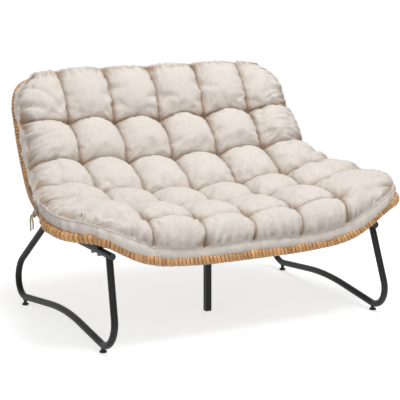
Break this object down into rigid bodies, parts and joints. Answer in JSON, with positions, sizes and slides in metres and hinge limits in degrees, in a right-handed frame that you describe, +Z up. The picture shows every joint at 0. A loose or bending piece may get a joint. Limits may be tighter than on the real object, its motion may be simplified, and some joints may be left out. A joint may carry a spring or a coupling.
{
  "type": "patio loveseat",
  "caption": "Garden loveseat: rattan-wound rim and woven back on bent-tube legs, with a deep tufted cushion tied on.",
  "frame": {"origin": "on the floor, under the middle of the object's bounding box", "axes": "+X to the sitter's left along the seat's width, +Y towards the back, +Z up; the front faces -Y"},
  "size_m": [1.2748, 0.8435, 0.7763],
  "materials": {
    "frame_metal": "satin",
    "rattan": "satin",
    "screw_metal": "satin",
    "black_plastic": "matte",
    "linen": "matte",
    "tie_cord": "matte"
  },
  "bodies": {
    "frame": {"seat_frame_tube": "frame_metal", "back_frame_tube": "frame_metal", "seat_rim_wrap": "rattan", "back_rim_wrap": "rattan", "joint_spigots": "frame_metal", "joint_screws": "screw_metal", "seat_ribs": "frame_metal", "back_rib_1": "frame_metal", "back_rib_2": "frame_metal", "back_rib_3": "frame_metal", "back_rib_4": "frame_metal", "back_rib_5": "frame_metal", "seat_spine": "frame_metal", "back_stakes": "rattan", "back_cross_strands": "rattan", "side_rail_right": "frame_metal", "side_rail_left": "frame_metal", "leg_loop_right": "frame_metal", "leg_loop_left": "frame_metal", "rail_plugs": "black_plastic", "front_brackets": "frame_metal", "rear_brackets": "frame_metal", "bracket_bolts": "screw_metal", "bracket_nuts": "screw_metal", "glide_inserts": "screw_metal", "centre_leg": "frame_metal", "centre_leg_plug": "black_plastic", "centre_leg_bolts": "screw_metal", "centre_leg_nuts": "screw_metal", "cushion": "linen", "tie_right": "tie_cord", "tie_left": "tie_cord", "tie_tail_right_1": "tie_cord", "tie_tail_right_2": "tie_cord", "tie_tail_left_1": "tie_cord", "tie_tail_left_2": "tie_cord"},
    "glide_front_right": {"glide_front_right": "black_plastic"},
    "glide_front_left": {"glide_front_left": "black_plastic"},
    "glide_rear_right": {"glide_rear_right": "black_plastic"},
    "glide_rear_left": {"glide_rear_left": "black_plastic"}
  },
  "joints": [
    {"name": "glide_front_right_screw", "type": "slide", "parent": "frame", "child": "glide_front_right", "axis": [0, 0, -1], "range_m": [0, 0.008]},
    {"name": "glide_front_left_screw", "type": "slide", "parent": "frame", "child": "glide_front_left", "axis": [0, 0, -1], "range_m": [0, 0.008]},
    {"name": "glide_rear_right_screw", "type": "slide", "parent": "frame", "child": "glide_rear_right", "axis": [0, 0, -1], "range_m": [0, 0.008]},
    {"name": "glide_rear_left_screw", "type": "slide", "parent": "frame", "child": "glide_rear_left", "axis": [0, 0, -1], "range_m": [0, 0.008]}
  ]
}
